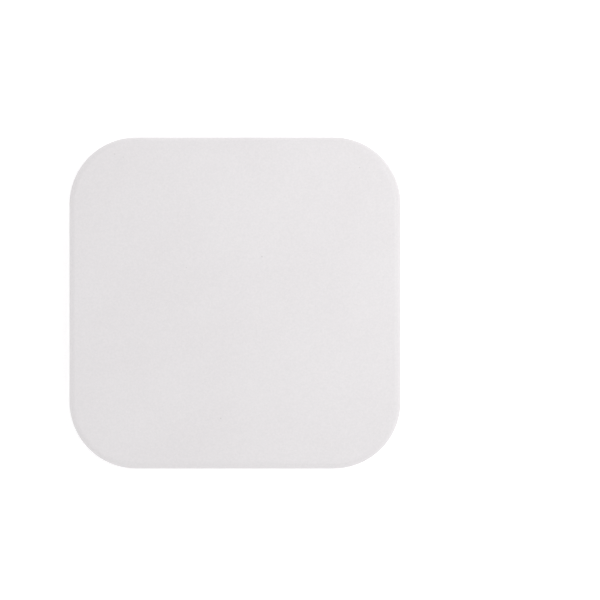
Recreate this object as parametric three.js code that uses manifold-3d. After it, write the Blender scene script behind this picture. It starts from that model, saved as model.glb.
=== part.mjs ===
// A square wireless charging pad. Two plastic shells, screwed together from below, hold a
// flat transmitter coil on its ferrite and a ring-shaped circuit board around them. The
// board carries a Micro-B power socket at the rear and a status light at the front.
// Millimetres. +Z is up and +Y is the rear, with the socket. The origin lies on the table,
// under the middle of the pad.

import * as THREE from "three";
import { mergeVertices } from "three/addons/utils/BufferGeometryUtils.js";
import Module from "manifold-3d";

const wasm = await Module();
wasm.setup();

// ---- Driving dimensions -------------------------------------------------------------

const SIDE = 60.4; // each side of the square plan
const CORNER_R = 12.2; // plan radius of its corners
const TOP_Z = 8.2; // charging face, above the table
const FOOT_PROUD = 0.6; // how far the feet hold the base off the table
const TOP_EDGE_R = 1.2; // rounding of the upper edge
const BASE_EDGE_R = 1.8; // rounding of the lower edge

const WALL = 1.6; // side wall of both shells
const ROOF = 1.3; // thickness over the coil
const FLOOR = 1.3; // thickness under the board
const SEAM_Z = 3.6; // middle of the parting groove
const SEAM_GAP = 0.3; // height of the parting groove
const LIP_T = 0.7; // the base's lip, which stands up inside the top cover's wall
const LIP_H = 1.1;
const FIT = 0.1; // clearance of one moulded or seated part in another
const BOND = 0.05; // glue or solder line between stacked parts
const ROOT = 0.2; // how far a post or rib runs into the plate it grows from

const FASTENER_XY = 21.5; // screws and feet, from each centre line
const SCREW_R = 0.95; // shank
const SCREW_HEAD_R = 1.9;
const SCREW_HEAD_H = 1.15;
const SCREW_SEAT_Z = 2.7; // shoulder that the screw head pulls against
const FOOT_R = 4;
const FOOT_RECESS = 0.8; // depth of the pocket each foot is glued into
const BASE_BOSS_R = 3.1;
const TOP_BOSS_R = 2.3;
const BOSS_JOINT_Z = 4.15; // where the bosses of the two shells meet

const BOARD_Z = 2.7; // underside of the circuit board
const BOARD_T = 1;
const BOARD_GAP = 0.4; // from the board's edge to the wall
const BOARD_HOLE_R = 22.8; // round opening for the coil
const PEG_XY = 25.2; // pegs and posts under the board, from a centre line
const PEG_R = 0.75;
const PEG_HEAD_R = 1.3; // melted over the board
const PEG_HEAD_H = 0.5;
const SHOULDER_R = 1.5; // of each peg, which the board sits on
const POST_R = 1.3;
const POST_APART = 15; // between the two posts at the front, and at the rear

const TAPE_T = 0.15; // adhesive disc between roof and coil
const COIL_T = 1.1;
const FERRITE_T = 0.9;
const FERRITE_R = 22.2;
const FOAM_T = 0.4;
const COIL_START_R = 10.7; // middle of the innermost turn
const COIL_PITCH = 1.06;
const COIL_TURNS = 10;
const SPIRAL_STEPS = 24; // straight steps that stand for one turn
const WIRE_W = 0.96; // one flattened turn of litz wire
const LEAD_R = 0.4; // round lead of the same wire
const LEAD_BEARING = 192; // degrees from +X, where both ends leave the coil
const FENCE_GAP = 0.4; // from the ferrite's edge to the fence round it
const FENCE_T = 0.7;
const CRADLE_R = [9, 18]; // insides of the two round ribs under the coil stack
const RIB_T = 0.8;
const SPOKE_DROP = 0.6; // how much lower the spokes are than the round ribs

const PORT_Z = 5; // middle height of the socket and of the status light
const SHELL_T = 0.25; // the socket's sheet metal
const SHELL_DEPTH = 5.5;
const MOUTH_SETBACK = 0.25; // the socket's mouth, inside the wall's outer face
const CONTACTS = 5;
const CONTACT_PITCH = 0.65;
const CONTACT_W = 0.34;
const WINDOW_W = 3.4; // status light, as seen from the front
const WINDOW_H = 1.2;

// ---- Levels that follow from them ----------------------------------------------------

const HALF = SIDE / 2;
const BASE_Z = FOOT_PROUD;
const FLOOR_Z = BASE_Z + FLOOR;
const CEILING_Z = TOP_Z - ROOF;
const TOP_RIM_Z = SEAM_Z + SEAM_GAP / 2; // lower rim of the top cover
const BASE_RIM_Z = SEAM_Z - SEAM_GAP / 2; // upper rim of the base
const LIP_TOP_Z = BASE_RIM_Z + LIP_H;
const BOARD_TOP_Z = BOARD_Z + BOARD_T;
const SOLDER_Z = BOARD_TOP_Z + BOND; // underside of what is soldered to the board
const FOOT_TOP_Z = BASE_Z + FOOT_RECESS;
const TAPE_Z = CEILING_Z - TAPE_T;
const COIL_Z = TAPE_Z - BOND - COIL_T;
const FERRITE_Z = COIL_Z - BOND - FERRITE_T;
const FOAM_Z = FERRITE_Z - BOND - FOAM_T;
const CRADLE_TOP_Z = FOAM_Z - BOND; // ribs that carry the coil stack
const MOUTH_Y = HALF - MOUTH_SETBACK;
const SOCKET_BACK_Y = MOUTH_Y - SHELL_DEPTH;
const TONGUE_Z = PORT_Z + 0.2; // underside of the tongue, where the contacts lie
const FAR = SIDE; // reaches past the part, for cutting

const QUARTERS = [
  [1, 1],
  [-1, 1],
  [-1, -1],
  [1, -1],
];
const CORNER_NAMES = ["rear_right", "rear_left", "front_left", "front_right"];

// ---- Solids: three.js shapes, joined and cut by manifold-3d ---------------------------

function solid(geometry) {
  const bare = geometry.clone();
  bare.deleteAttribute("normal");
  bare.deleteAttribute("uv");
  const merged = mergeVertices(bare);
  return new wasm.Manifold(
    new wasm.Mesh({
      numProp: 3,
      vertProperties: new Float32Array(merged.attributes.position.array),
      triVerts: new Uint32Array(merged.index.array),
    }),
  );
}

function geometryOf(manifold) {
  const mesh = manifold.getMesh();
  const geometry = new THREE.BufferGeometry();
  geometry.setAttribute("position", new THREE.BufferAttribute(mesh.vertProperties, 3));
  geometry.setIndex(new THREE.BufferAttribute(mesh.triVerts, 1));
  geometry.computeVertexNormals();
  return geometry;
}

const join = (...solids) => solids.reduce((all, next) => all.add(next));
const cut = (body, ...tools) => tools.reduce((rest, tool) => rest.subtract(tool), body);

function box(x0, x1, y0, y1, z0, z1) {
  const geometry = new THREE.BoxGeometry(x1 - x0, y1 - y0, z1 - z0);
  return solid(geometry.translate((x0 + x1) / 2, (y0 + y1) / 2, (z0 + z1) / 2));
}

// A box centred on x and y that starts at height z0.
function block(width, depth, height, z0 = 0) {
  return box(-width / 2, width / 2, -depth / 2, depth / 2, z0, z0 + height);
}

const above = (z) => box(-FAR, FAR, -FAR, FAR, z, FAR);
const below = (z) => box(-FAR, FAR, -FAR, FAR, -FAR, z);

// An outline in plan, extruded upwards, with both rims rounded by edge.
function slab(outline, z0, z1, edge = 0) {
  const geometry = new THREE.ExtrudeGeometry(outline, {
    depth: z1 - z0 - 2 * edge,
    curveSegments: 6,
    bevelEnabled: edge > 0,
    bevelThickness: edge,
    bevelSize: edge,
    bevelOffset: -edge,
    bevelSegments: 4,
  });
  return solid(geometry.translate(0, 0, z0 + edge));
}

// An outline drawn in x and height, extruded towards the rear.
function beam(outline, y0, y1) {
  const geometry = new THREE.ExtrudeGeometry(outline, {
    depth: y1 - y0,
    curveSegments: 3,
    bevelEnabled: false,
  });
  return solid(geometry.rotateX(Math.PI / 2).translate(0, y1, 0));
}

function cylinder(radius, z0, z1, x = 0, y = 0, segments = 20) {
  const geometry = new THREE.CylinderGeometry(radius, radius, z1 - z0, segments);
  return solid(geometry.rotateX(Math.PI / 2).translate(x, y, (z0 + z1) / 2));
}

// A profile of [radius, height] points from axis to axis, turned about Z.
function turned(profile, segments) {
  const points = profile.map(([radius, height]) => new THREE.Vector2(radius, height));
  return solid(new THREE.LatheGeometry(points, segments).rotateX(Math.PI / 2));
}

function ring(inner, outer, z0, z1, segments = 40) {
  const bore = cylinder(inner, z0 - 1, z1 + 1, 0, 0, segments);
  return cut(cylinder(outer, z0, z1, 0, 0, segments), bore);
}

const atFasteners = (make) => QUARTERS.map(([sx, sy]) => make(sx * FASTENER_XY, sy * FASTENER_XY));

// Turns a shape made along +X towards the coil's leads.
const towardsLeads = (shape) => shape.rotate([0, 0, LEAD_BEARING]);

// ---- Outlines -------------------------------------------------------------------------

const polygon = (corners) => new THREE.Shape(corners.map(([x, y]) => new THREE.Vector2(x, y)));
const rectangle = (width, length) =>
  polygon(QUARTERS.map(([sx, sy]) => [(sx * width) / 2, (sy * length) / 2]));

function roundRect(width, height, radius, middleY = 0) {
  const x = width / 2 - radius;
  const y = height / 2 - radius;
  const outline = new THREE.Shape();
  QUARTERS.forEach(([sx, sy], i) => {
    const start = (i * Math.PI) / 2;
    outline.absarc(sx * x, middleY + sy * y, radius, start, start + Math.PI / 2);
  });
  return outline.closePath();
}

// The pad's plan outline, moved inwards.
const plan = (inset) => roundRect(SIDE - 2 * inset, SIDE - 2 * inset, CORNER_R - inset);

const windowSection = (grow) =>
  roundRect(WINDOW_W + 2 * grow, WINDOW_H + 2 * grow, WINDOW_H / 2 + grow, PORT_Z);

// The socket's section: wide and square above, narrowed by slanting cheeks below.
function socketSection(grow) {
  const wide = 3.75 + grow;
  const narrow = 2.9 + grow * 0.6;
  const top = PORT_Z + 1.25 + grow;
  const bottom = PORT_Z - 1.25 - grow;
  const cheek = PORT_Z - 0.15;
  return polygon([
    [wide, cheek],
    [wide, top],
    [-wide, top],
    [-wide, cheek],
    [-narrow, bottom],
    [narrow, bottom],
  ]);
}

// ---- Shells ---------------------------------------------------------------------------

const socketOpening = () => beam(socketSection(0.5), HALF - WALL - 1, HALF + 1);
const windowOpening = () => beam(windowSection(FIT / 2), -HALF - 1, -HALF + WALL + 1);

function topCover() {
  const skin = slab(plan(0), BASE_Z, TOP_Z, TOP_EDGE_R).intersect(above(TOP_RIM_Z));
  const cavity = slab(plan(WALL), 0, CEILING_Z);
  const rebate = slab(plan(WALL - LIP_T - FIT), 0, LIP_TOP_Z + FIT);
  const bossTop = CEILING_Z + ROOT;
  const bosses = atFasteners((x, y) => cylinder(TOP_BOSS_R, BOSS_JOINT_Z + BOND, bossTop, x, y));
  const pilots = atFasteners((x, y) => cylinder(SCREW_R + FIT, 0, CEILING_Z - ROOT, x, y, 12));
  const shell = join(cut(skin, cavity, rebate), coilFence(), ...bosses);
  return cut(shell, ...pilots, windowOpening(), socketOpening());
}

// A low round wall under the roof keeps the coil and the ferrite centred. It is open where
// the coil's two leads pass.
function coilFence() {
  const inner = FERRITE_R + FENCE_GAP;
  const wall = ring(inner, inner + FENCE_T, FERRITE_Z + 0.15, CEILING_Z + ROOT, 48);
  const [gapStart, gapEnd] = [-1.3, 4.6];
  const gap = box(inner - 2, inner + 3, gapStart, gapEnd, 0, CEILING_Z);
  return cut(wall, towardsLeads(gap));
}

function baseCover() {
  const low = FLOOR_Z - ROOT;
  const skin = slab(plan(0), BASE_Z, TOP_Z, BASE_EDGE_R).intersect(below(BASE_RIM_Z));
  const tray = cut(skin, slab(plan(WALL), FLOOR_Z, TOP_Z));
  const plinths = atFasteners((x, y) => cylinder(FOOT_R + 1, low, FLOOR_Z + 0.4, x, y));
  const bosses = atFasteners((x, y) => cylinder(BASE_BOSS_R, low, BOSS_JOINT_Z - BOND, x, y));
  const pockets = atFasteners((x, y) => cylinder(FOOT_R + FIT, 0, FOOT_TOP_Z, x, y));
  const counterbores = atFasteners((x, y) => cylinder(SCREW_HEAD_R + 0.3, 0, SCREW_SEAT_Z, x, y));
  const holes = atFasteners((x, y) => cylinder(SCREW_R + 0.2, 0, TOP_Z, x, y, 12));
  const shell = join(tray, baseLip(), ...plinths, ...bosses, ...boardSupports(), coilCradle());
  return cut(shell, ...pockets, ...counterbores, ...holes, socketOpening());
}

// The lip that closes the parting groove from inside.
function baseLip() {
  const body = slab(plan(WALL - LIP_T), BASE_RIM_Z - ROOT, LIP_TOP_Z);
  return cut(body, slab(plan(WALL), 0, TOP_Z), windowOpening());
}

// Plain posts under the board's front and rear. At each side the board sits on a shoulder,
// and the peg through it is melted over into a head.
function boardSupports() {
  const low = FLOOR_Z - ROOT;
  const posts = QUARTERS.map(([sx, sy]) => {
    return cylinder(POST_R, low, BOARD_Z, (sx * POST_APART) / 2, sy * PEG_XY, 12);
  });
  const pegs = [-PEG_XY, PEG_XY].flatMap((x) => [
    cylinder(SHOULDER_R, low, BOARD_Z, x, 0, 16),
    cylinder(PEG_R, BOARD_Z - ROOT, SOLDER_Z + ROOT, x, 0, 16),
    cylinder(PEG_HEAD_R, SOLDER_Z, SOLDER_Z + PEG_HEAD_H, x, 0, 16),
  ]);
  return [...posts, ...pegs];
}

// Two round ribs and four spokes hold the coil stack up against the roof.
function coilCradle() {
  const low = FLOOR_Z - ROOT;
  const [hub, rim] = CRADLE_R.map((inner) => ring(inner, inner + RIB_T, low, CRADLE_TOP_Z));
  const [near, far] = CRADLE_R.map((inner) => inner + RIB_T / 2);
  const spoke = box(near, far, -RIB_T / 2, RIB_T / 2, low, CRADLE_TOP_Z - SPOKE_DROP);
  const spokes = [0, 90, 180, 270].map((turn) => spoke.rotate([0, 0, turn]));
  return join(hub, rim, ...spokes);
}

// ---- Feet, screws and the light window ------------------------------------------------

function foot() {
  const top = FOOT_TOP_Z - BOND;
  const profile = [
    [0, 0],
    [FOOT_R - 0.7, 0],
    [FOOT_R - 0.25, 0.15],
    [FOOT_R, 0.5],
    [FOOT_R, top],
    [0, top],
  ];
  return turned(profile, 24);
}

// Pan-head screw with a cross recess in the head, driven from below.
function caseScrew() {
  const headZ = SCREW_SEAT_Z - SCREW_HEAD_H;
  const seat = SCREW_SEAT_Z - BOND;
  const tip = CEILING_Z - 0.6;
  const profile = [
    [0, headZ],
    [SCREW_HEAD_R - 0.6, headZ],
    [SCREW_HEAD_R, headZ + 0.5],
    [SCREW_HEAD_R, seat],
    [SCREW_R, seat],
    [SCREW_R, tip - 0.6],
    [0, tip],
  ];
  const [slotLength, slotWidth, slotDepth] = [2.2, 0.5, 0.6];
  const across = block(slotLength, slotWidth, 2 * slotDepth, headZ - slotDepth);
  const along = block(slotWidth, slotLength, 2 * slotDepth, headZ - slotDepth);
  return cut(turned(profile, 16), across, along);
}

// A clear bar through the front wall, with a flange behind it that faces the LED.
function lightPipe() {
  const wallInside = -HALF + WALL;
  const bar = beam(windowSection(0), -HALF + BOND, wallInside + 0.4);
  const flangeSection = roundRect(WINDOW_W + 1.4, WINDOW_H + 0.9, 0.5, PORT_Z - 0.05);
  return join(bar, beam(flangeSection, wallInside + BOND, wallInside + 0.65));
}

// ---- Coil stack -----------------------------------------------------------------------

const adhesiveDisc = () => ring(COIL_START_R - 1.2, FERRITE_R - 0.6, TAPE_Z, CEILING_Z - BOND);
const foamRing = () => ring(8.4, 19.4, FOAM_Z, FOAM_Z + FOAM_T);

// A disc with a slot that lets the coil's inner lead out underneath the turns.
function ferriteShield() {
  const disc = cylinder(FERRITE_R, FERRITE_Z, FERRITE_Z + FERRITE_T, 0, 0, 56);
  const side = LEAD_R + 0.3;
  const slot = box(COIL_START_R - 1.2, FERRITE_R + 1, -side, side, 0, TOP_Z);
  return cut(disc, towardsLeads(slot));
}

// One flat spiral of litz wire, wound outwards, with its two round leads.
function coilWinding() {
  const axis = new THREE.Vector2();
  const side = (offset) =>
    Array.from({ length: COIL_TURNS * SPIRAL_STEPS + 1 }, (_, i) => {
      const turn = i / SPIRAL_STEPS;
      const radius = COIL_START_R + COIL_PITCH * turn + offset;
      return new THREE.Vector2(radius, 0).rotateAround(axis, turn * 2 * Math.PI);
    });
  const outline = [...side(WIRE_W / 2), ...side(-WIRE_W / 2).reverse()];
  const spiral = slab(new THREE.Shape(outline), COIL_Z, COIL_Z + COIL_T);
  return towardsLeads(join(spiral, innerLead(), outerLead()));
}

// Dips under the turns, runs out through the ferrite's slot, then drops to its pad.
function innerLead() {
  const slotZ = FERRITE_Z + FERRITE_T / 2;
  const padZ = SOLDER_Z + LEAD_R;
  return lead([
    [COIL_START_R, 0, COIL_Z + COIL_T / 2],
    [COIL_START_R + 0.1, 0, COIL_Z],
    [COIL_START_R + 0.9, 0, slotZ + 0.05],
    [COIL_START_R + 2, 0, slotZ],
    [FERRITE_R, 0, slotZ],
    [FERRITE_R + 1, 0, slotZ - 0.3],
    [FERRITE_R + 2, 0, padZ + 0.15],
    [FERRITE_R + 3, 0, padZ],
    [FERRITE_R + 4, 0, padZ],
  ]);
}

// Leaves the outermost turn along its own direction, and drops to its pad.
function outerLead() {
  const level = COIL_Z + COIL_T / 2;
  const end = COIL_START_R + COIL_PITCH * COIL_TURNS;
  const padZ = SOLDER_Z + LEAD_R;
  return lead([
    [end, -1, level],
    [end + 0.1, 2, level],
    [end + 0.7, 4.6, level],
    [end + 2, 7.2, level - 1.1],
    [end + 3, 8.4, padZ + 0.15],
    [end + 4.1, 9, padZ],
    [end + 5.2, 9, padZ],
  ]);
}

// A round wire through points given by distance from the middle, degrees on from the
// coil's own end, and height.
function lead(route) {
  const points = route.map(([radius, degrees, z]) => {
    const angle = THREE.MathUtils.degToRad(degrees);
    return new THREE.Vector3(radius * Math.cos(angle), radius * Math.sin(angle), z);
  });
  const section = new THREE.Shape().absarc(0, 0, LEAD_R, 0, 2 * Math.PI);
  const geometry = new THREE.ExtrudeGeometry(section, {
    steps: 16,
    curveSegments: 4,
    bevelEnabled: false,
    extrudePath: new THREE.CatmullRomCurve3(points),
  });
  return solid(geometry);
}

// ---- Circuit board --------------------------------------------------------------------

function mainBoard() {
  const board = slab(plan(WALL + BOARD_GAP), BOARD_Z, BOARD_TOP_Z);
  const middle = cylinder(BOARD_HOLE_R, 0, TOP_Z, 0, 0, 64);
  const bossHoles = atFasteners((x, y) => cylinder(BASE_BOSS_R + BOARD_GAP, 0, TOP_Z, x, y));
  const pegHoles = [-PEG_XY, PEG_XY].map((x) => cylinder(PEG_R + FIT, 0, TOP_Z, x, 0, 16));
  return cut(board, middle, ...bossHoles, ...pegHoles);
}

// ---- Micro-B socket -------------------------------------------------------------------

// Folded sheet metal: a tube with a flared mouth and four solder tabs.
function usbShell() {
  const tube = beam(socketSection(0), SOCKET_BACK_Y, MOUTH_Y);
  const flare = beam(socketSection(0.25), MOUTH_Y - 0.4, MOUTH_Y);
  const bore = beam(socketSection(-SHELL_T), SOCKET_BACK_Y - 1, MOUTH_Y + 1);
  const [tabIn, tabOut, tabLength] = [2.9, 4.3, 0.9];
  const tabs = [0.4, 2.3].flatMap((fromBack) => {
    const y = SOCKET_BACK_Y + fromBack;
    return [
      box(tabIn, tabOut, y, y + tabLength, SOLDER_Z, SOLDER_Z + SHELL_T),
      box(-tabOut, -tabIn, y, y + tabLength, SOLDER_Z, SOLDER_Z + SHELL_T),
    ];
  });
  return cut(join(tube, flare, ...tabs), bore);
}

const contactX = (i) => (i - (CONTACTS - 1) / 2) * CONTACT_PITCH;

// A springy strip under the tongue, whose tail drops behind the socket to the board.
function usbContact(grow = 0) {
  const side = CONTACT_W / 2 + grow;
  const behind = SOCKET_BACK_Y - 0.25;
  const stripTop = TONGUE_Z - BOND + grow;
  const [low, high] = [SOLDER_Z - grow, SOLDER_Z + 0.15 + grow];
  const strip = box(-side, side, behind - 0.15 - grow, HALF - 1.6, stripTop - 0.1 - 2 * grow, stripTop);
  const drop = box(-side, side, behind - 0.15 - grow, behind + grow, low, stripTop);
  const tail = box(-side, side, behind - 0.75 - grow, behind + grow, low, high);
  return join(strip, drop, tail);
}

// Moulded insulator: a block that plugs the back of the socket, and the tongue.
function usbTongue() {
  const plug = beam(socketSection(-SHELL_T - FIT), SOCKET_BACK_Y, SOCKET_BACK_Y + 1.4);
  const tongue = box(-1.85, 1.85, SOCKET_BACK_Y + 1, MOUTH_Y - 0.9, TONGUE_Z, TONGUE_Z + 0.6);
  const channel = usbContact(0.04);
  const channels = Array.from({ length: CONTACTS }, (_, i) => channel.translate([contactX(i), 0, 0]));
  return cut(join(plug, tongue), ...channels);
}

// ---- Parts soldered to the board, each made standing on z = 0 ----------------------------

// A ceramic chip: a body between two slightly larger plated ends, along x.
function chip(length, width, height) {
  const end = length * 0.18;
  const plate = 0.04;
  const caps = [0, length - end].map((from) => {
    const x = from - length / 2;
    return box(x, x + end, -width / 2, width / 2, 0, height);
  });
  return join(block(length - end, width - 2 * plate, height - 2 * plate, plate), ...caps);
}

const leadless = (side, height) => slab(rectangle(side, side), 0, height, 0.08);

// A moulded package with gull-wing legs on its two long sides.
function gullWing({ width, length, height, span, legs, pitch }) {
  const sheet = 0.2;
  const knee = height * 0.42;
  const legOutline = polygon([
    [width / 2 - 0.2, knee],
    [width / 2 + 0.3, knee],
    [width / 2 + 0.45, 0],
    [span / 2, 0],
    [span / 2, sheet],
    [width / 2 + 0.62, sheet],
    [width / 2 + 0.47, knee + sheet],
    [width / 2 - 0.2, knee + sheet],
  ]);
  const leg = beam(legOutline, -0.2, 0.2);
  const pair = join(leg, leg.rotate([0, 0, 180]));
  const rows = Array.from({ length: legs }, (_, i) => pair.translate([0, (i - (legs - 1) / 2) * pitch, 0]));
  return join(slab(rectangle(width, length), 0.12, height, 0.12), ...rows);
}

const mosfet = () => gullWing({ width: 3.9, length: 4.9, height: 1.5, span: 6, legs: 4, pitch: 1.27 });
const regulator = () => gullWing({ width: 1.6, length: 2.9, height: 1.1, span: 2.8, legs: 2, pitch: 1.9 });
const surgeDiode = () => gullWing({ width: 2.6, length: 1.6, height: 1.1, span: 4.2, legs: 1, pitch: 0 });

// Wire-wound choke: a drum in a square ferrite frame, with a round gap between them.
const powerInductor = () => cut(slab(rectangle(5, 5), 0, 2, 0.2), ring(1.75, 2.1, 1.3, 3, 24));

// Side-looking LED: a white body with a half-round lens towards the window.
function statusLed() {
  const lensShape = new THREE.CylinderGeometry(0.5, 0.5, 0.8, 16);
  const lens = solid(lensShape.rotateX(Math.PI / 2).translate(0, -0.3, 0.5));
  return join(block(1.7, 0.7, 1), lens);
}

// ---- Materials --------------------------------------------------------------------------

function finish(color, roughness, metalness = 0) {
  return new THREE.MeshStandardMaterial({ color, roughness, metalness });
}

const whitePlastic = () => finish(0xe6e3e4, 0.5);
const clearPlastic = () => finish(0xf2f5f6, 0.2);
const blackPlastic = () => finish(0x1c1c1e, 0.55);
const footRubber = () => finish(0xd4d4d2, 0.8);
const steel = () => finish(0xb9bbbd, 0.3, 1);
const gilt = () => finish(0xd9a441, 0.3, 1);
const copper = () => finish(0xb4652f, 0.4, 1);
const ferrite = () => finish(0x3b3b3d, 0.6);
const adhesive = () => finish(0xe8e2d0, 0.6);
const foam = () => finish(0x2a2a2a, 0.95);
const greenBoard = () => finish(0x1f6b3a, 0.45);
const ceramic = () => finish(0xb08a5e, 0.5);
const tantalum = () => finish(0xd8a03a, 0.5);
const whiteLed = () => finish(0xf4f4ee, 0.4);

// ---- Assembly ---------------------------------------------------------------------------

const pad = new THREE.Group();

function place(name, shape, material, { x = 0, y = 0, z = 0, turn = 0 } = {}) {
  const mesh = new THREE.Mesh(geometryOf(shape), material);
  mesh.name = name;
  mesh.position.set(x, y, z);
  mesh.rotation.z = THREE.MathUtils.degToRad(turn);
  pad.add(mesh);
}

function placeHousing() {
  place("top_cover", topCover(), whitePlastic());
  place("base_cover", baseCover(), whitePlastic());
  place("light_pipe", lightPipe(), clearPlastic());
  QUARTERS.forEach(([sx, sy], i) => {
    const corner = { x: sx * FASTENER_XY, y: sy * FASTENER_XY };
    place(`foot_${CORNER_NAMES[i]}`, foot(), footRubber(), corner);
    place(`case_screw_${CORNER_NAMES[i]}`, caseScrew(), steel(), corner);
  });
}

function placeCoilStack() {
  place("adhesive_disc", adhesiveDisc(), adhesive());
  place("coil_winding", coilWinding(), copper());
  place("ferrite_shield", ferriteShield(), ferrite());
  place("foam_ring", foamRing(), foam());
}

function placeSocket() {
  place("usb_shell", usbShell(), steel());
  place("usb_tongue", usbTongue(), blackPlastic());
  for (let i = 0; i < CONTACTS; i++) {
    place(`usb_contact_${i + 1}`, usbContact(), gilt(), { x: contactX(i) });
  }
}

function placeOnBoard(name, shape, material, x, y, turn = 0) {
  place(name, shape, material, { x, y, z: SOLDER_Z, turn });
}

// The rear strip of the ring holds the input, its right side the control, and its left
// side and front the sensing and the light.
function placeElectronics() {
  placeOnBoard("input_capacitor_1", chip(2, 1.25, 1.25), ceramic(), -6.9, 25.6, 90);
  placeOnBoard("input_capacitor_2", chip(2, 1.25, 1.25), ceramic(), 6.9, 25.6, 90);
  placeOnBoard("controller_ic", leadless(5, 0.9), blackPlastic(), 12.9, 24);
  placeOnBoard("bridge_mosfet_1", mosfet(), blackPlastic(), -12.9, 24.2, 90);
  placeOnBoard("bridge_mosfet_2", mosfet(), blackPlastic(), 24.2, 12.9);
  placeOnBoard("gate_driver_ic", leadless(3, 0.8), blackPlastic(), 25, 6.6);
  placeOnBoard("crystal", slab(rectangle(3.2, 2.5), 0, 0.7, 0.1), steel(), 24.8, -4.6);
  for (let i = 0; i < 4; i++) {
    placeOnBoard(`resonant_capacitor_${i + 1}`, chip(3.2, 1.6, 1.6), ceramic(), 24.8, -8.2 - 2.6 * i);
  }
  placeOnBoard("power_inductor", powerInductor(), ferrite(), -24.4, 12.9);
  placeOnBoard("thermistor", chip(1.6, 0.8, 0.8), blackPlastic(), -24.9, 4.6, 90);
  placeOnBoard("sense_resistor", chip(6.3, 3.2, 0.6), blackPlastic(), -24.6, -14.8, 90);
  placeOnBoard("voltage_regulator", regulator(), blackPlastic(), -12.5, -24.4, 90);
  placeOnBoard("surge_diode", surgeDiode(), blackPlastic(), 0, -24.6);
  placeOnBoard("bulk_capacitor", chip(3.5, 2.8, 1.9), tantalum(), 12.5, -24.4);
  placeOnBoard("led_resistor", chip(1.6, 0.8, 0.5), blackPlastic(), 3.4, -26.2, 90);
  placeOnBoard("status_led", statusLed(), whiteLed(), 0, -27.05);
}

placeHousing();
placeCoilStack();
place("main_board", mainBoard(), greenBoard());
placeSocket();
placeElectronics();

export default pad;
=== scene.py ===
"""The looks of the wireless charging pad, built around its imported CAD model.

Metres, in the CAD's own frame: +Z is up, +Y is the rear wall with the power socket, and
z = 0 is the table. Sizes given in millimetres are multiplied by MM where they are used.
"""

import math

import bmesh
import bpy
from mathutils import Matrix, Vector


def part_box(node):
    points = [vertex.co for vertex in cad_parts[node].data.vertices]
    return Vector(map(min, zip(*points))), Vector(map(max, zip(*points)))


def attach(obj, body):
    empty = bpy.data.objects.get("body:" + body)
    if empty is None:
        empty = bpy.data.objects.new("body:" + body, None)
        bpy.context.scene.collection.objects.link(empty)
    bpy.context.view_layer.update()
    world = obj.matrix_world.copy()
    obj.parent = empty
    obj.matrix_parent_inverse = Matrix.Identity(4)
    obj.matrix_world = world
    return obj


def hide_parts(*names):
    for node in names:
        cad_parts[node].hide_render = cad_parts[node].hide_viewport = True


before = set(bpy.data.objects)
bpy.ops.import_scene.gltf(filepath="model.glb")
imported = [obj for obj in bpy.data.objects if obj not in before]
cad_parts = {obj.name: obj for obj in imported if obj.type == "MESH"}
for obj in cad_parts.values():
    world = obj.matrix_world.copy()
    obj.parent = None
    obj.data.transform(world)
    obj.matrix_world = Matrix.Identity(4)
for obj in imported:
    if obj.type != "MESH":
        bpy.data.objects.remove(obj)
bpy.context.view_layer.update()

MM = 0.001
WELD = 0.0001 * MM  # points closer than this are one point
QUARTERS = ((1, 1), (-1, 1), (-1, -1), (1, -1))  # the pad's corners, anticlockwise

# ---- Places taken from the CAD model ----

TOP_LOW, TOP_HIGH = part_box("top_cover")
BASE_LOW, BASE_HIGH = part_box("base_cover")
SOCKET_LOW, SOCKET_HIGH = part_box("usb_shell")
WINDOW_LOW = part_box("light_pipe")[0]
FOOT_LOW, FOOT_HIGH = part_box("foot_rear_right")
BOARD_LOW, BOARD_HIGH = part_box("main_board")
FERRITE_LOW, FERRITE_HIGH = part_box("ferrite_shield")
FOAM_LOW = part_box("foam_ring")[0]
COIL_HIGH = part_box("coil_winding")[1]
HALF = TOP_HIGH.x  # half of the pad's side
TOP_Z = TOP_HIGH.z  # charging face
TOP_RIM_Z = TOP_LOW.z  # the parting groove lies between the two rims
BASE_Z = BASE_LOW.z  # underside of the base
LIP_TOP_Z = BASE_HIGH.z  # the base's lip, which stands up inside the top cover
SOCKET_Z = (SOCKET_LOW.z + SOCKET_HIGH.z) / 2
MOUTH_Y = SOCKET_HIGH.y
SOCKET_BACK_Y = SOCKET_LOW.y
FASTENER = (FOOT_LOW.x + FOOT_HIGH.x) / 2  # screws and feet, from each centre line
FOOT_R = (FOOT_HIGH.x - FOOT_LOW.x) / 2
FOOT_TOP_Z = FOOT_HIGH.z

# ---- Dimensions, the same as in the CAD model ----

CORNER_R = 12.2 * MM
TOP_EDGE_R = 1.2 * MM
BASE_EDGE_R = 1.8 * MM
WALL = 1.6 * MM
CEILING_Z = TOP_Z - 1.3 * MM
FLOOR_Z = BASE_Z + 1.3 * MM
BASE_RIM_Z = TOP_RIM_Z - 0.3 * MM  # on the lower side of the parting groove
LIP_T = 0.7 * MM
FIT = 0.1 * MM  # clearance of one moulded part in another
BOND = 0.05 * MM  # gap left for glue or solder, and where two bosses meet
ROOT = 0.2 * MM  # how far a post or rib runs into the plate it grows from
BASE_BOSS_R = 3.1 * MM
TOP_BOSS_R = 2.3 * MM
BOSS_JOINT_Z = 4.15 * MM
PLINTH_R = 5 * MM  # the base's thicker floor round each boss
PLINTH_H = 0.4 * MM
SCREW_SEAT_Z = 2.7 * MM
SCREW_R = 0.95 * MM
HEAD_BORE_R = 2.2 * MM
PEG_XY = 25.2 * MM  # pegs and posts under the board, from a centre line
PEG_R = 0.75 * MM
PEG_HEAD_R = 1.3 * MM  # melted over the board
PEG_HEAD_H = 0.5 * MM
SHOULDER_R = 1.5 * MM  # of each peg, which the board sits on
POST_R = 1.3 * MM
POST_X = 7.5 * MM
FERRITE_R = 22.2 * MM
FENCE_GAP = 0.4 * MM  # from the ferrite's edge to the fence round it
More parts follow.
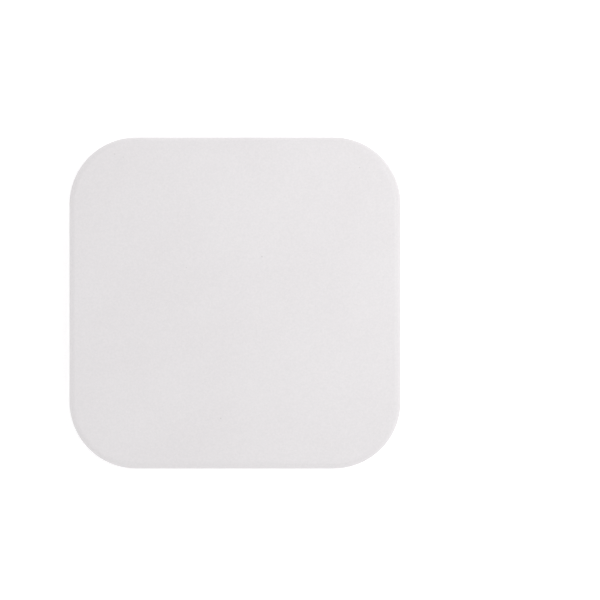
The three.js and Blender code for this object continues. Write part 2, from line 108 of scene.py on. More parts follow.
FENCE_T = 0.7 * MM
CRADLE_R = (9 * MM, 18 * MM)  # insides of the two round ribs under the coil stack
RIB_T = 0.8 * MM
SPOKE_DROP = 0.6 * MM  # how much lower the spokes are than the round ribs
LEAD_TURN = math.radians(192)  # from +X, where both ends leave the coil
COIL_START_R = 10.7 * MM
COIL_PITCH = 1.06 * MM
COIL_TURNS = 10
COIL_T = 1.1 * MM
WIRE_W = 0.96 * MM
LEAD_R = 0.4 * MM
SHELL_T = 0.25 * MM  # the socket's sheet metal
SOCKET_HALF_W = 3.75 * MM
SOCKET_HALF_H = 1.25 * MM
SOCKET_NARROW = 2.9 * MM  # half of its width at the bottom
WINDOW_Z = SOCKET_Z
WINDOW_W = 3.4 * MM
WINDOW_H = 1.2 * MM

# ---- Finer details ----

CORNER_STEPS = 24
RIM_EDGE_R = 0.12 * MM  # softened rims of the parting groove
SHELL_FILLET = 0.5 * MM  # where a cover's wall meets its plate
EDGE_ROWS = (0.3 * MM, 0.05 * MM)  # flat rows beside a rounded edge, for even shading
OPENING_DEPTH = 2.6 * MM  # how far the wall's openings are cut in from outside
FLARE = 0.25 * MM  # how far the socket's mouth widens
STRANDS = 10  # seen round one bundle
LAY_LENGTH = 34 * MM  # one full twist of the bundle


# ---- Mesh helpers ----


def to_object(name, bm, smooth_angle=40):
    """Turns a bmesh into an object whose edges sharper than smooth_angle degrees stay sharp."""
    bmesh.ops.remove_doubles(bm, verts=bm.verts, dist=WELD)
    bmesh.ops.recalc_face_normals(bm, faces=bm.faces)
    mesh = bpy.data.meshes.new(name)
    bm.to_mesh(mesh)
    bm.free()
    piece = link(name, mesh)
    shade(piece, smooth_angle)
    return piece


def link(name, data):
    piece = bpy.data.objects.new(name, data)
    bpy.context.scene.collection.objects.link(piece)
    return piece


def shade(piece, smooth_angle=40):
    mesh = piece.data
    mesh.polygons.foreach_set("use_smooth", [True] * len(mesh.polygons))
    mesh.set_sharp_from_angle(angle=math.radians(smooth_angle))


def add_mesh(bm, extra):
    """Adds one bmesh's bodies to another, and frees it."""
    part = bpy.data.meshes.new("part")
    extra.to_mesh(part)
    extra.free()
    bm.from_mesh(part)
    bpy.data.meshes.remove(part)


def assemble(name, parts, smooth_angle=40):
    """One object made of closed bodies. Each part is a material and what builds its bodies."""
    whole = bmesh.new()
    for index, (_, build) in enumerate(parts):
        bm = bmesh.new()
        build(bm)
        bmesh.ops.recalc_face_normals(bm, faces=bm.faces)
        for face in bm.faces:
            face.material_index = index
        add_mesh(whole, bm)
    piece = to_object(name, whole, smooth_angle)
    for material, _ in parts:
        piece.data.materials.append(material)
    return piece


def loft(bm, loops, cap_ends=True):
    """Skins a list of loops of points. Without caps, the last loop joins the first."""
    rings = [[bm.verts.new(point) for point in loop] for loop in loops]
    pairs = list(zip(rings, rings[1:]))
    if not cap_ends:
        pairs.append((rings[-1], rings[0]))
    for low, high in pairs:
        for i in range(len(low)):
            j = (i + 1) % len(low)
            bm.faces.new((low[i], low[j], high[j], high[i]))
    if cap_ends:
        bm.faces.new(list(reversed(rings[0])))
        bm.faces.new(rings[-1])


def lofted(name, loops, cap_ends=True):
    bm = bmesh.new()
    loft(bm, loops, cap_ends)
    return to_object(name, bm)


def arc(centre, radius, start, end, steps):
    """Points on an arc in a plane, from one angle in degrees to the other."""
    points = []
    for i in range(steps + 1):
        angle = math.radians(start + (end - start) * i / steps)
        x = centre[0] + radius * math.cos(angle)
        points.append((x, centre[1] + radius * math.sin(angle)))
    return points


def circle(centre, radius, segments):
    return arc(centre, radius, 0, 360 - 360 / segments, segments - 1)


def raised(outline, z):
    """An outline in plan, set at one height."""
    return [(x, y, z) for x, y in outline]


def upright(outline, y):
    """An outline in x and z, set in an upright plane."""
    return [(x, y, z) for x, z in outline]


def place_of(name):
    """The box of a CAD node, and its middle in plan."""
    low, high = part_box(name)
    return low, high, (low.x + high.x) / 2, (low.y + high.y) / 2


def round_rect(width, height, radius, steps, centre=(0, 0)):
    """Outline of a rectangle with round corners, anticlockwise."""
    outline = []
    for turn, (sx, sy) in enumerate(QUARTERS):
        x = centre[0] + sx * (width / 2 - radius)
        y = centre[1] + sy * (height / 2 - radius)
        outline += arc((x, y), radius, 90 * turn, 90 * turn + 90, steps)
    return outline


def plan_loop(inset, z):
    """The pad's outline in plan, moved inwards, at one height."""
    side = 2 * (HALF - inset)
    return raised(round_rect(side, side, CORNER_R - inset, CORNER_STEPS), z)


def rounded_polygon(corners, radius, steps=4):
    """A convex anticlockwise polygon with each corner rounded."""
    outline = []
    for i, corner in enumerate(corners):
        here = Vector(corner)
        back = (Vector(corners[i - 1]) - here).normalized()
        ahead = (Vector(corners[(i + 1) % len(corners)]) - here).normalized()
        half_angle = back.angle(ahead) / 2
        centre = here + (back + ahead).normalized() * (radius / math.sin(half_angle))
        start = here + back * (radius / math.tan(half_angle)) - centre
        end = here + ahead * (radius / math.tan(half_angle)) - centre
        for k in range(steps + 1):
            spoke = start.slerp(end, k / steps) if start.angle(end) > 1e-4 else start
            outline.append(tuple(centre + spoke.normalized() * radius))
    return outline


def cylinder_loops(radius, z0, z1, x, y, segments=48):
    ring = circle((x, y), radius, segments)
    return [raised(ring, z0), raised(ring, z1)]


def lathe(bm, profile, x=0.0, y=0.0, segments=64):
    """Turns a profile of (radius, height) from axis to axis about a vertical line."""
    ends = [bm.verts.new((x, y, profile[0][1])), bm.verts.new((x, y, profile[-1][1]))]
    rings = []
    for radius, z in profile[1:-1]:
        ring = circle((x, y), radius, segments)
        rings.append([bm.verts.new(point) for point in raised(ring, z)])
    for low, high in zip(rings, rings[1:]):
        for i in range(segments):
            j = (i + 1) % segments
            bm.faces.new((low[i], low[j], high[j], high[i]))
    for i in range(segments):
        j = (i + 1) % segments
        bm.faces.new((ends[0], rings[0][j], rings[0][i]))
        bm.faces.new((ends[1], rings[-1][i], rings[-1][j]))


def add_block(bm, width, depth, radius, steps, levels, centre=(0, 0), tighten=0.0):
    """Skins a block with round upright corners through levels of (inset, height).

    Tighten is the share of the inset that the corners' radius loses.
    """
    loops = []
    for inset, z in levels:
        corner_r = radius - tighten * inset
        outline = round_rect(width - 2 * inset, depth - 2 * inset, corner_r, steps, centre)
        loops.append(raised(outline, z))
    loft(bm, loops)


def soft_top(z, soft):
    """Levels for add_block that round off its upper edge."""
    return [(0, z - soft), (soft / 3, z - soft / 3), (soft, z)]


def rounded_box(bm, low, high, radius, segments=2):
    centre = (Vector(low) + Vector(high)) / 2
    size = Vector(high) - Vector(low)
    made = bmesh.ops.create_cube(bm, size=1)
    for vert in made["verts"]:
        vert.co = Vector(a * b for a, b in zip(vert.co, size)) + centre
    if radius:
        edges = list({edge for vert in made["verts"] for edge in vert.link_edges})
        bmesh.ops.bevel(
            bm, geom=edges, offset=radius, segments=segments, profile=0.5, affect="EDGES"
        )


def spin(bm, angle):
    for vert in bm.verts:
        x, y = vert.co.x, vert.co.y
        vert.co.x = x * math.cos(angle) - y * math.sin(angle)
        vert.co.y = x * math.sin(angle) + y * math.cos(angle)


def add_turned(bm, local, degrees, x=0.0, y=0.0):
    """Turns some bodies about the Z axis, moves them in plan and adds them to bm."""
    spin(local, math.radians(degrees))
    bmesh.ops.translate(local, verts=local.verts, vec=(x, y, 0))
    add_mesh(bm, local)


def boolean(piece, build, operation):
    """Adds or cuts the solid that build(bm) makes. Its bodies must not touch each other."""
    bm = bmesh.new()
    build(bm)
    tool = to_object("tool", bm)
    modifier = piece.modifiers.new("boolean", "BOOLEAN")
    modifier.operation = operation
    modifier.solver = "EXACT"
    modifier.object = tool
    result = bpy.data.meshes.new_from_object(
        piece.evaluated_get(bpy.context.evaluated_depsgraph_get())
    )
    piece.modifiers.clear()
    welded = bmesh.new()
    welded.from_mesh(result)
    bmesh.ops.remove_doubles(welded, verts=welded.verts, dist=WELD)
    welded.to_mesh(result)
    welded.free()
    used = [piece.data, tool.data]
    piece.data = result
    result.name = piece.name
    bpy.data.objects.remove(tool)
    for mesh in used:
        bpy.data.meshes.remove(mesh)


def cut(piece, build):
    boolean(piece, build, "DIFFERENCE")


def join(piece, build):
    boolean(piece, build, "UNION")


# ---- Outlines of the openings ----


def socket_outline(grow, radius):
    """The Micro-B section in x and z: square above, with slanting cheeks below."""
    wide = SOCKET_HALF_W + grow
    narrow = SOCKET_NARROW + grow * 0.6
    top = SOCKET_Z + SOCKET_HALF_H + grow
    bottom = SOCKET_Z - SOCKET_HALF_H - grow
    cheek = SOCKET_Z - 0.15 * MM
    right = [(narrow, bottom), (wide, cheek), (wide, top)]
    left = [(-x, z) for x, z in reversed(right)]
    return rounded_polygon(right[1:] + left + right[:1], radius)


def socket_loop(grow, radius, y):
    return upright(socket_outline(grow, radius), y)


def window_loop(grow, y):
    width, height = WINDOW_W + 2 * grow, WINDOW_H + 2 * grow
    return upright(round_rect(width, height, WINDOW_H / 2 + grow, 10, (0, WINDOW_Z)), y)


def flared(loop, wall_y, inside_y, edge):
    """Loops of a cutter whose mouth opens in a round edge at the wall's outer face."""
    out = 1 if wall_y > inside_y else -1
    loops = [loop(0, inside_y)]
    for grow, back in arc((edge, edge), edge, 180, 270, 4):
        loops.append(loop(grow, wall_y - out * back))
    loops.append(loop(edge, wall_y + out * 2 * MM))
    return loops


def cut_socket(bm):
    clearance, corner = 0.5 * MM, 0.55 * MM

    def opening(grow, y):
        return socket_loop(clearance + grow, corner + grow, y)

    loft(bm, flared(opening, HALF, HALF - OPENING_DEPTH, edge=0.18 * MM))


def cut_window(bm):
    def opening(grow, y):
        return window_loop(FIT / 2 + grow, y)

    loft(bm, flared(opening, -HALF, -HALF + OPENING_DEPTH, edge=0.08 * MM))


# ---- Fasteners, bosses and ribs ----


def at_fasteners(bm, radius, z0, z1, segments=48):
    for sx, sy in QUARTERS:
        loft(bm, cylinder_loops(radius, z0, z1, sx * FASTENER, sy * FASTENER, segments))


def top_profile():
    """(inset, height) from the charging face over the edge, round the rim, to the ceiling."""
    face = [(TOP_EDGE_R + row, TOP_Z) for row in EDGE_ROWS]
    edge = arc((TOP_EDGE_R, TOP_Z - TOP_EDGE_R), TOP_EDGE_R, 90, 180, 14)
    rim_out = arc((RIM_EDGE_R, TOP_RIM_Z + RIM_EDGE_R), RIM_EDGE_R, 180, 270, 4)
    skirt = WALL - LIP_T - FIT
    rim_in = arc((skirt - RIM_EDGE_R, TOP_RIM_Z + RIM_EDGE_R), RIM_EDGE_R, 270, 360, 3)
    rebate = [(skirt, LIP_TOP_Z + FIT), (WALL, LIP_TOP_Z + FIT)]
    fillet = (WALL + SHELL_FILLET, CEILING_Z - SHELL_FILLET)
    return face + edge + rim_out + rim_in + rebate + arc(fillet, SHELL_FILLET, 180, 90, 4)


def base_profile():
    """(inset, height) from the underside over the edge and the lip to the floor."""
    face = [(BASE_EDGE_R + row, BASE_Z) for row in EDGE_ROWS]
    edge = arc((BASE_EDGE_R, BASE_Z + BASE_EDGE_R), BASE_EDGE_R, 270, 180, 16)
    rim = arc((RIM_EDGE_R, BASE_RIM_Z - RIM_EDGE_R), RIM_EDGE_R, 180, 90, 4)
    lip = WALL - LIP_T
    soft = 0.15 * MM
    lip_out = arc((lip + soft, LIP_TOP_Z - soft), soft, 180, 90, 3)
    lip_in = arc((WALL - soft, LIP_TOP_Z - soft), soft, 90, 0, 3)
    fillet = (WALL + SHELL_FILLET, FLOOR_Z + SHELL_FILLET)
    floor = arc(fillet, SHELL_FILLET, 180, 270, 4)
    return face + edge + rim + [(lip, BASE_RIM_Z)] + lip_out + lip_in + floor


def shell(name, profile):
    return lofted(name, [plan_loop(inset, z) for inset, z in profile])


def tube_loops(inner, outer, z0, z1, segments=96):
    ring_in = cylinder_loops(inner, z0, z1, 0, 0, segments)
    ring_out = cylinder_loops(outer, z0, z1, 0, 0, segments)
    return [ring_out[0], ring_out[1], ring_in[1], ring_in[0]]


def add_fence(bm):
    inner = FERRITE_R + FENCE_GAP
    low = FERRITE_LOW.z + 0.15 * MM
    loft(bm, tube_loops(inner, inner + FENCE_T, low, CEILING_Z + ROOT), cap_ends=False)


def cut_fence_gap(bm):
    """The opening in the fence through which both leads leave."""
    inner = FERRITE_R + FENCE_GAP
    low = (inner - 2 * MM, -1.3 * MM, FERRITE_LOW.z - 1 * MM)
    high = (inner + 3 * MM, 4.6 * MM, CEILING_Z)
    rounded_box(bm, low, high, 0)
    spin(bm, LEAD_TURN)


def cut_at_fasteners(piece, radius, top, segments=48):
    cut(piece, lambda bm: at_fasteners(bm, radius, 0, top, segments))


def finish_cover(piece):
    cut(piece, cut_socket)
    cut(piece, cut_window)
    shade(piece, 35)
    return piece


def make_top_cover():
    piece = shell("pad_top_shell", top_profile())
    join(piece, add_fence)
    cut(piece, cut_fence_gap)
    low, high = BOSS_JOINT_Z + BOND, CEILING_Z + ROOT
    join(piece, lambda bm: at_fasteners(bm, TOP_BOSS_R, low, high))
    cut_at_fasteners(piece, SCREW_R + FIT, CEILING_Z - ROOT, 24)
    return finish_cover(piece)


def add_bosses(bm):
    low, plinth, top = FLOOR_Z - ROOT, FLOOR_Z + PLINTH_H, BOSS_JOINT_Z - BOND
    profile = [(0, low), (PLINTH_R, low), (PLINTH_R, plinth)]
    profile += [(BASE_BOSS_R, plinth), (BASE_BOSS_R, top), (0, top)]
    for sx, sy in QUARTERS:
        lathe(bm, profile, sx * FASTENER, sy * FASTENER, 48)


def add_board_supports(bm):
    """Four posts, and two pegs whose heads are melted over the board."""
    low = FLOOR_Z - ROOT
    seat = BOARD_LOW.z - 0.02 * MM
    for sx, sy in QUARTERS:
        loft(bm, cylinder_loops(POST_R, low, seat, sx * POST_X, sy * PEG_XY, 32))
    head = BOARD_HIGH.z + BOND
    profile = [(0, low), (SHOULDER_R, low), (SHOULDER_R, seat), (PEG_R, seat), (PEG_R, head)]
    profile += [(PEG_HEAD_R, head), (PEG_HEAD_R, head + PEG_HEAD_H / 2)]
    profile += [(PEG_HEAD_R - 0.3 * MM, head + PEG_HEAD_H), (0, head + PEG_HEAD_H)]
    for x in (-PEG_XY, PEG_XY):
        lathe(bm, profile, x, 0, 32)


def add_cradle_rings(bm):
    low, high = FLOOR_Z - ROOT, FOAM_LOW.z - BOND
    for inner in CRADLE_R:
        loft(bm, tube_loops(inner, inner + RIB_T, low, high), cap_ends=False)


def add_cradle_spokes(bm):
    half = RIB_T / 2
    low = (CRADLE_R[0] + half, -half, FLOOR_Z - ROOT)
    high = (CRADLE_R[1] + half, half, FOAM_LOW.z - BOND - SPOKE_DROP)
    for turn in range(4):
        spoke = bmesh.new()
        rounded_box(spoke, low, high, 0)
        add_turned(bm, spoke, 90 * turn)


def make_base_cover():
    piece = shell("pad_base_shell", base_profile())
    for build in (add_bosses, add_board_supports, add_cradle_rings, add_cradle_spokes):
        join(piece, build)
    cut_at_fasteners(piece, FOOT_R + FIT, FOOT_TOP_Z + BOND, 64)
    cut_at_fasteners(piece, HEAD_BORE_R, SCREW_SEAT_Z)
    cut_at_fasteners(piece, SCREW_R + 2 * FIT, TOP_Z, 24)
    return finish_cover(piece)


# ---- Feet, light window and socket ----


def make_foot(name):
    low, high, x, y = place_of(name)
    soft = 0.45 * MM
    bevel = 0.08 * MM
    profile = [(0, low.z), (1.2 * MM, low.z), (2.6 * MM, low.z)]
    profile += arc((FOOT_R - soft, low.z + soft), soft, 270, 360, 8)
    profile += [(FOOT_R, high.z - bevel), (FOOT_R - bevel, high.z), (0, high.z)]
    bm = bmesh.new()
    lathe(bm, profile, x, y, 96)
    return to_object("rubber_" + name, bm)


def make_light_pipe():
    """A bar with a domed face in the wall, and a flange behind it."""
    front = WINDOW_LOW.y
    flange = -HALF + WALL + BOND
    dome = 0.22 * MM
    loops = [window_loop(-0.4 * MM, front)]
    for back, inset in arc((dome, dome), dome, 180, 270, 5):
        loops.append(window_loop(-inset, front + back))
    loops.append(window_loop(0, flange))
    size = (WINDOW_W + 1.4 * MM, WINDOW_H + 0.9 * MM)
    outline = round_rect(*size, 0.5 * MM, 10, (0, WINDOW_Z - 0.05 * MM))
    loops += [upright(outline, flange), upright(outline, flange + 0.6 * MM)]
    return lofted("status_window", loops)


def make_usb_shell():
    """A bent sheet whose mouth widens, as loops along its outside and back inside."""
    flare_at, flare_length = MOUTH_Y - 0.55 * MM, 0.5 * MM
    outer_r, inner_r = 0.4 * MM, 0.18 * MM
    steps = 5
    outside = [socket_loop(0, outer_r, y) for y in (SOCKET_BACK_Y, flare_at)]
    inside = []
    for i in range(1, steps + 1):
        t = i / steps
        grow = FLARE * t * t
        y = flare_at + t * flare_length
        outside.append(socket_loop(grow, outer_r + grow, y))
        inside.insert(0, socket_loop(grow - SHELL_T, 0.2 * MM + FLARE * t, y))
    lip = [socket_loop(0.2 * MM, 0.6 * MM, MOUTH_Y), socket_loop(0.06 * MM, 0.5 * MM, MOUTH_Y)]
    inside += [socket_loop(-SHELL_T, inner_r, y) for y in (flare_at, SOCKET_BACK_Y)]
    piece = lofted("socket_shell", outside + lip + inside, cap_ends=False)
    join(piece, add_solder_tabs)
    cut(piece, cut_latch_windows)
    cut(piece, cut_flare_slits)
    shade(piece, 35)
    return piece


def add_solder_tabs(bm):
    floor = BOARD_HIGH.z + BOND
    length, thick = 0.9 * MM, SHELL_T
    inner, outer = 2.85 * MM, 4.3 * MM
    for from_back in (0.4 * MM, 2.3 * MM):
        y = SOCKET_BACK_Y + from_back
        for left, right in ((inner, outer), (-outer, -inner)):
            high = (right, y + length, floor + thick)
            rounded_box(bm, (left, y, floor), high, 0.06 * MM)


def cut_latch_windows(bm):
    """Two openings in the shell's top, where the plug's hooks snap in."""
    reach = Vector((0.45, 0.6, 0.5)) * MM
    for x in (-1.9 * MM, 1.9 * MM):
        centre = Vector((x, MOUTH_Y - 2.5 * MM, SOCKET_Z + SOCKET_HALF_H))
        rounded_box(bm, centre - reach, centre + reach, 0.1 * MM)


def cut_flare_slits(bm):
    """The flared mouth is four separate lips, so it is slit near each corner."""
    reach = Vector((0.13, 0.42, 0.5)) * MM
    for sx in (-1, 1):
        for x, z in ((3.35, 1.6), (2.75, -1.6)):
            centre = Vector((sx * x * MM, MOUTH_Y, SOCKET_Z + z * MM))
            rounded_box(bm, centre - reach, centre + reach, 0)


def make_tongue():
    """The socket's insulator: a plug at the back, and a blade that carries the contacts."""
    low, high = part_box("usb_tongue")
    grow, radius = -0.35 * MM, 0.15 * MM
    soft = 0.08 * MM
    back = low.y + 1.4 * MM
    loops = [socket_loop(grow, radius, y) for y in (low.y + soft, back - soft)]
    loops.insert(0, socket_loop(grow - soft, 0.12 * MM, low.y))
    loops.append(socket_loop(grow - soft, 0.12 * MM, back))
    piece = lofted("socket_tongue", loops)
    half_width, thick = 1.85 * MM, 0.6 * MM
    underside = SOCKET_Z + 0.2 * MM
    blade_low = (-half_width, low.y + 1 * MM, underside)
    blade_high = (half_width, high.y, underside + thick)
    join(piece, lambda bm: rounded_box(bm, blade_low, blade_high, 0.12 * MM, 3))
    cut(piece, cut_contact_channels)
    shade(piece, 35)
    return piece


def cut_contact_channels(bm):
    room = Vector((0.04, 0.04, 0.04)) * MM
    for name in nodes_named("usb_contact_"):
        low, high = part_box(name)
        low.z = SOCKET_Z + 0.03 * MM
        rounded_box(bm, low - room, high + room, 0)


# ---- Coil, screws and the parts on the board ----

COIL_MIDDLE_Z = COIL_HIGH.z - COIL_T / 2


def strand_relief(around, travelled):
    """How far the surface of a twisted bundle dips between its strands, from 0 to 1."""
    phase = STRANDS / 2 * (around + 2 * math.pi * travelled / LAY_LENGTH)
    return 1 - abs(math.cos(phase))


def bundle_loop(centre, outward, upward, width, height, travelled, power=4, points=40):
    """One section of the wire, ridged by its strands: a circle at power 2, and squarer above."""
    dip = 0.11 * MM
    loop = []
    for i in range(points):
        around = 2 * math.pi * i / points
        c, s = math.cos(around), math.sin(around)
        reach = (abs(c) ** power + abs(s) ** power) ** (-1 / power)
        sink = 1 - dip * strand_relief(around, travelled) / (width / 2)
        loop.append(centre + (outward * (width / 2 * c) + upward * (height / 2 * s)) * reach * sink)
    return loop


def wind_spiral(bm):
    steps = 130
    up = Vector((0, 0, 1))
    loops = []
    for i in range(COIL_TURNS * steps + 1):
        turn = i / steps
        angle = LEAD_TURN + 2 * math.pi * turn
        radius = COIL_START_R + COIL_PITCH * turn
        outward = Vector((math.cos(angle), math.sin(angle), 0))
        centre = outward * radius + up * COIL_MIDDLE_Z
        travelled = 2 * math.pi * turn * (COIL_START_R + radius) / 2
        loops.append(bundle_loop(centre, outward, up, WIRE_W, COIL_T, travelled))
    loft(bm, loops)


def lead_route(route):
    """Points given in mm by distance from the middle, degrees on from the coil's end, and height."""
    points = []
    for radius, degrees, z in route:
        angle = LEAD_TURN + math.radians(degrees)
        points.append(Vector((radius * math.cos(angle), radius * math.sin(angle), z)) * MM)
    return points


def smooth_route(points, steps=8):
    """A centripetal Catmull-Rom curve through the points."""
    ends = [2 * points[0] - points[1]] + points + [2 * points[-1] - points[-2]]
    route = []
    for corners in zip(ends, ends[1:], ends[2:], ends[3:]):
        knots = [0]
        for near, far in zip(corners, corners[1:]):
            knots.append(knots[-1] + math.sqrt((far - near).length))
        for i in range(steps):
            share = i / steps
            at = knots[1] + (knots[2] - knots[1]) * share
            level = corners
            for span in (1, 2):
                level = [
                    near.lerp(far, (at - knots[k]) / (knots[k + span] - knots[k]))
                    for k, (near, far) in enumerate(zip(level, level[1:]))
                ]
            route.append(level[0].lerp(level[1], share))
    return route + [points[-1]]


def run_lead(bm, points):
    route = smooth_route(points)
    travelled = 0
    loops = []
    for i, here in enumerate(route):
        ahead = route[min(i + 1, len(route) - 1)] - route[max(i - 1, 0)]
        side = ahead.cross(Vector((0, 0, 1))).normalized()
        over = side.cross(ahead).normalized()
        if i:
            travelled += (here - route[i - 1]).length
        loops.append(bundle_loop(here, side, over, 2 * LEAD_R, 2 * LEAD_R, travelled, power=2))
    loft(bm, loops)


def run_leads(bm):
    """The inner lead dips under the turns. The outer one leaves along its own direction."""
    slot_z = (FERRITE_LOW.z + FERRITE_HIGH.z) / 2 / MM
    pad_z = (BOARD_HIGH.z + BOND + LEAD_R) / MM
    level = COIL_MIDDLE_Z / MM
    start = COIL_START_R / MM
    disc = FERRITE_R / MM
    end = (COIL_START_R + COIL_PITCH * COIL_TURNS) / MM
    inner = [
        (start, 0, level),
        (start + 0.1, 0, level - 0.55),
        (start + 0.9, 0, slot_z + 0.05),
        (start + 2, 0, slot_z),
        (disc, 0, slot_z),
        (disc + 1, 0, slot_z - 0.3),
        (disc + 2, 0, pad_z + 0.15),
        (disc + 3, 0, pad_z),
        (disc + 4, 0, pad_z),
    ]
    outer = [
        (end, -1, level),
        (end + 0.1, 2, level),
        (end + 0.7, 4.6, level + 0.08),
        (end + 2, 7.2, level - 1.1),
        (end + 3, 8.4, pad_z + 0.15),
        (end + 4.1, 9, pad_z),
        (end + 5.2, 9, pad_z),
    ]
    for route in (inner, outer):
        run_lead(bm, lead_route(route))


def wind_coil(bm):
    wind_spiral(bm)
    run_leads(bm)


def make_screw(name, steel):
    """Pan head with a cross recess, driven from below, and a coarse thread for plastic."""
    low, high, x, y = place_of(name)
    head_r = (high.x - low.x) / 2
    seat = SCREW_SEAT_Z - BOND
    pitch, depth = 0.7 * MM, 0.2 * MM
    crest_width = 0.45  # of half a pitch
    tip = 0.3  # radius at the point, as a share of the shank's
    segments = 32

    def ring(z, radius_at):
        loop = []
        for i in range(segments):
            share = i / segments
            radius = radius_at(share)
            angle = 2 * math.pi * share
            loop.append((x + radius * math.cos(angle), y + radius * math.sin(angle), z))
        return loop

    def threaded(z):
        taper = min(1, (high.z - z) / (1.0 * MM))

        def radius_at(share):
            across = abs(((z - seat) / pitch - share) % 1 - 0.5) * 2
            crest = max(0, 1 - across / crest_width)
            return (SCREW_R - depth + depth * crest) * (tip + (1 - tip) * taper)

        return ring(z, radius_at)

    def turn_screw(bm):
        crown, soft = 0.5 * MM, 0.05 * MM
        dome = arc((head_r - crown, low.z + crown), crown, 270, 360, 6)
        profile = [(head_r - 1.1 * MM, low.z)] + dome + [(head_r, seat - soft)]
        profile += [(head_r - soft, seat), (SCREW_R, seat)]
        loops = [ring(z, lambda share, radius=radius: radius) for radius, z in profile]
        steps = 60
        start = seat + soft
        for i in range(steps + 1):
            loops.append(threaded(start + (high.z - start) * i / steps))
        loft(bm, loops)

    def cut_recess(bm):
        """A cross that narrows upwards, from its (height, reach, half width) in mm."""
        loops = []
        for z, reach, half in ((-0.2, 1.2, 0.28), (0, 1.1, 0.25), (0.6, 0.6, 0.18)):
            plus = []
            for c, s in ((1, 0), (0, 1), (-1, 0), (0, -1)):
                for px, py in ((reach, -half), (reach, half), (half, half)):
                    plus.append((x + (px * c - py * s) * MM, y + (px * s + py * c) * MM))
            loops.append(raised(plus, low.z + z * MM))
        loft(bm, loops)

    piece = assemble("steel_" + name, [(steel, turn_screw)], 50)
    cut(piece, cut_recess)
    shade(piece, 50)
    return piece


def make_chip(name, body, tin, glaze=None):
    """A ceramic chip between two tinned ends, along the longer side of its box."""
    low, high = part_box(name)
    size = high - low
    along = 0 if size.x > size.y else 1
    end = 0.18 * size[along]
    skin = 0.04 * MM

    def add_body(bm):
        inset = Vector((skin, skin, skin))
        inset[along] = end / 2
        rounded_box(bm, low + inset, high - inset, skin)

    def add_ends(bm):
        for start in (low[along], high[along] - end):
            near, far = low.copy(), high.copy()
            near[along] = start
            far[along] = start + end
            rounded_box(bm, near, far, 1.6 * skin, 3)

    def add_glaze(bm):
        inset = Vector((2 * skin, 2 * skin, 0))
        inset[along] = end + skin
        near, far = low + inset, high - inset
        near.z = high.z - 1.5 * skin
        far.z = high.z - 0.3 * skin
        rounded_box(bm, near, far, 0.4 * skin)

    parts = [(body, add_body), (tin, add_ends)]
    if glaze:
        parts.append((glaze, add_glaze))
    return assemble("chip_" + name, parts)


def add_marked(bm, build, x, y, z):
    """Adds the body that build makes, with a shallow dimple beside its first pin."""
    body = bmesh.new()
    build(body)
    marked = to_object("body", body)
    depth, inner, outer = 0.05 * MM, 0.2 * MM, 0.26 * MM
    profile = [(0, z - depth), (inner, z - depth), (outer, z + depth), (0, z + depth)]
    cut(marked, lambda tool: lathe(tool, profile, x, y, 24))
    mesh = marked.data
    bm.from_mesh(mesh)
    bpy.data.objects.remove(marked)
    bpy.data.meshes.remove(mesh)


def make_leadless(name, pads, black, tin):
    """A flat square package with its contact pads along all four lower edges."""
    low, high, x, y = place_of(name)
    side = high.x - low.x
    pitch = 0.5 * MM
    half_pad = 0.12 * MM
    mark = side * 0.34  # from the middle, each way

    def add_body(bm):
        levels = [(0, low.z + 0.04 * MM)] + soft_top(high.z, 0.07 * MM)
        add_block(bm, side, side, 0.12 * MM, 3, levels, (x, y))

    def add_pads(bm):
        for turn in range(4):
            row = bmesh.new()
            for i in range(pads):
                across = (i - (pads - 1) / 2) * pitch
                near = (side / 2 - 0.4 * MM, across - half_pad, low.z)
                far = (side / 2 + 0.01 * MM, across + half_pad, low.z + 0.2 * MM)
                rounded_box(row, near, far, 0.02 * MM)
            add_turned(bm, row, 90 * turn, x, y)

    def add_marked_body(bm):
        add_marked(bm, add_body, x - mark, y + mark, high.z)

    return assemble("package_" + name, [(black, add_marked_body), (tin, add_pads)])


def make_gull_wing(name, black, tin, turn, width, legs, pitch=0.0):
    """A moulded package with bent legs on two sides. Width is the body's, between the legs."""
    low, high, x, y = place_of(name)
    size = high - low
    span, length = (size.x, size.y) if turn == 0 else (size.y, size.x)
    half = width * MM / 2
    parting = low.z + 0.5 * size.z
    sheet, bend = 0.2 * MM, 0.15 * MM
    half_leg = 0.2 * MM

    def add_body(bm):
        local = bmesh.new()
        draft = 0.14 * MM
        levels = [(draft, low.z + 0.12 * MM), (0, parting)]
        levels += [(0, parting + 0.06 * MM), (draft, high.z)]
        add_block(local, 2 * half, length, 0.1 * MM, 3, levels)
        add_turned(bm, local, turn, x, y)

    def leg_outline():
        """The leg's side view: out of the body, down, and flat along the board."""
        knee = half + 0.25 * MM
        foot = low.z + sheet / 2 + bend
        outer, inner = bend + sheet / 2, bend - sheet / 2
        outside = arc((knee - bend, parting - bend), outer, 90, 0, 4)
        outside += arc((knee + bend, foot), inner, 180, 270, 4)
        inside = arc((knee + bend, foot), outer, 270, 180, 4)
        inside += arc((knee - bend, parting - bend), inner, 0, 90, 4)
        start = half - 0.15 * MM
        top, bottom = parting + sheet / 2, parting - sheet / 2
        end = [(span / 2, low.z + sheet), (span / 2, low.z)]
        return [(start, top)] + outside + end + inside + [(start, bottom)]

    def add_legs(bm):
        for side in (0, 180):
            local = bmesh.new()
            for i in range(legs):
                across = (i - (legs - 1) / 2) * pitch * MM
                edges = (across - half_leg, across + half_leg)
                loft(local, [upright(leg_outline(), edge) for edge in edges])
            add_turned(bm, local, turn + side, x, y)

    def add_marked_body(bm):
        across, along = -half * 0.55, length * 0.33
        c, s = math.cos(math.radians(turn)), math.sin(math.radians(turn))
        add_marked(bm, add_body, x + across * c - along * s, y + across * s + along * c, high.z)

    body = add_marked_body if legs > 1 else add_body
    return assemble("package_" + name, [(black, body), (tin, add_legs)])


